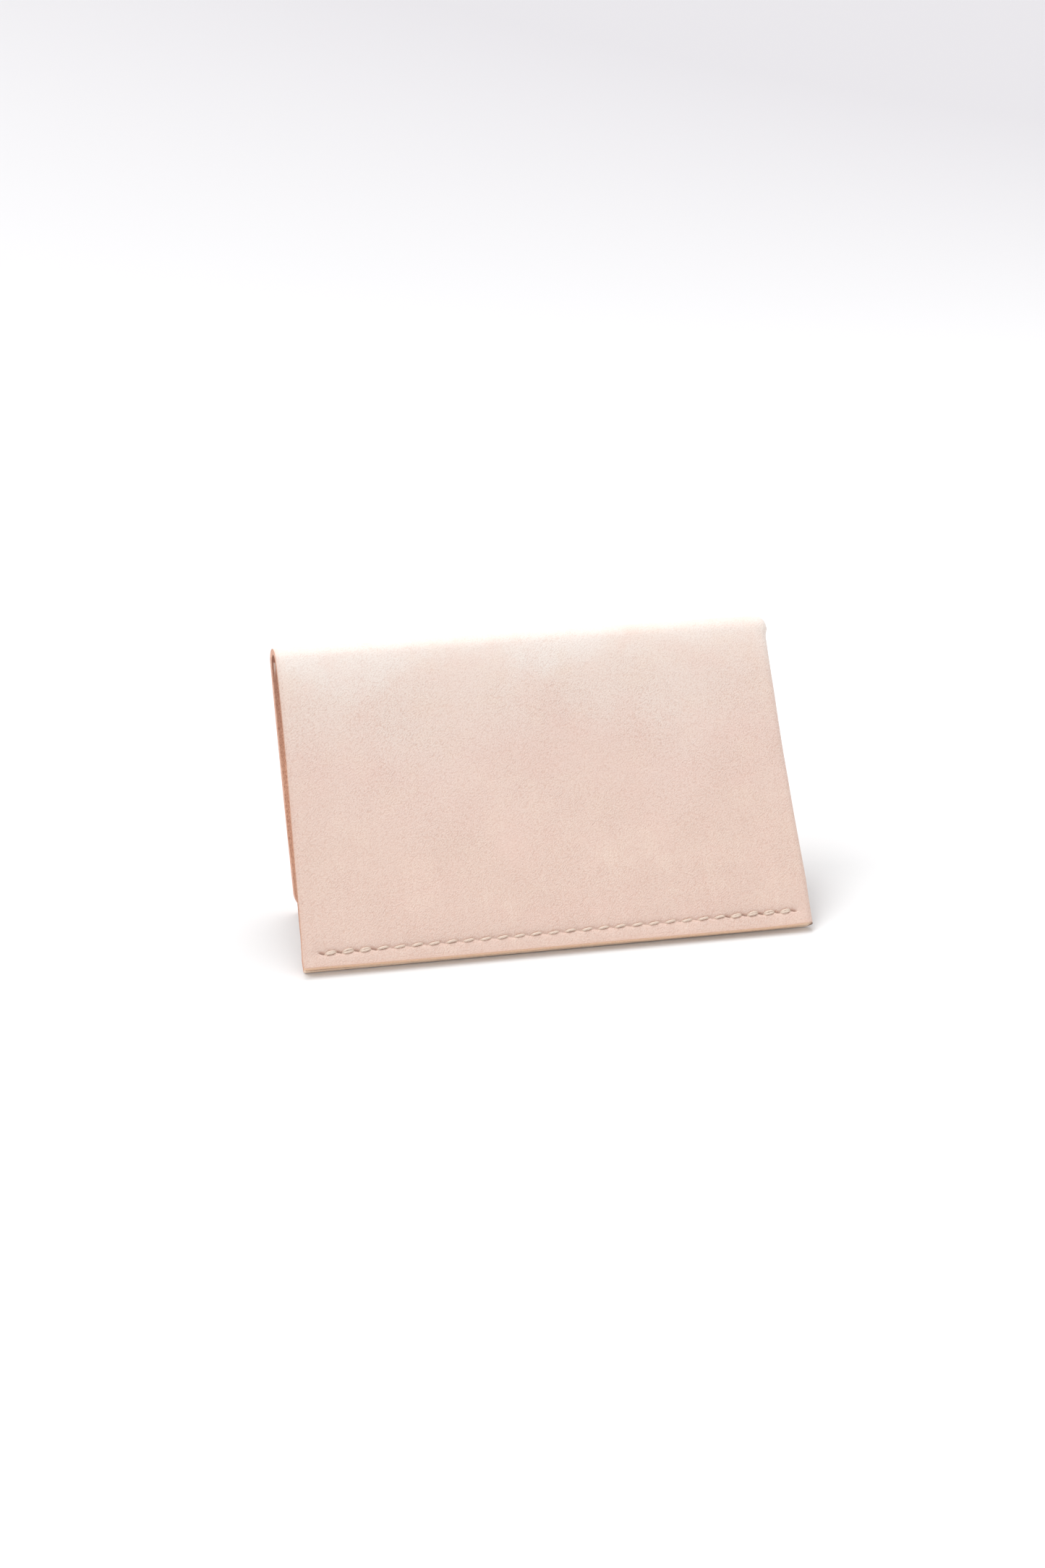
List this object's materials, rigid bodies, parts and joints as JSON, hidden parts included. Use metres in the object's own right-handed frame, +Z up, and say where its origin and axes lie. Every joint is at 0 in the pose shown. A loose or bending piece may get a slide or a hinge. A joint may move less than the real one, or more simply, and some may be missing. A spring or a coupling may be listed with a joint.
{
  "type": "card holder",
  "caption": "Folded leather card holder with a tall front half and a shorter back half, each a stitched flat card pocket, standing open on its lower edges.",
  "frame": {"origin": "centre of the box round the holder as it stands open, on the surface it stands on", "axes": "+X along the spine from the open edges to the doubled edge, +Y from the front half to the back half, +Z up"},
  "size_m": [0.11, 0.047, 0.0578],
  "materials": {
    "outer_leather": "natural undyed vegetable-tanned grain, matt to satin",
    "lining_leather": "natural undyed vegetable-tanned leather, matt",
    "needle_thread": "twisted cream thread, waxed",
    "bobbin_thread": "twisted cream thread, waxed"
  },
  "bodies": {
    "front_half": {"front_outer_panel": "outer_leather", "front_lining_panel": "lining_leather", "front_side_fold": "outer_leather", "front_needle_thread": "needle_thread", "front_bobbin_thread": "bobbin_thread", "spine_outer_fold": "outer_leather", "spine_lining_fold": "lining_leather", "spine_side_fold": "outer_leather"},
    "back_half": {"back_outer_panel": "outer_leather", "back_lining_panel": "lining_leather", "back_side_fold": "outer_leather", "back_needle_thread": "needle_thread", "back_bobbin_thread": "bobbin_thread"}
  },
  "joints": [
    {"name": "spine_fold", "type": "hinge", "parent": "front_half", "child": "back_half", "pos_m": [0, 0.02013, 0.05444], "axis": [1, 0, 0], "range_deg": [-21, 158], "deforming": ["spine_outer_fold", "spine_lining_fold", "spine_side_fold"]}
  ]
}
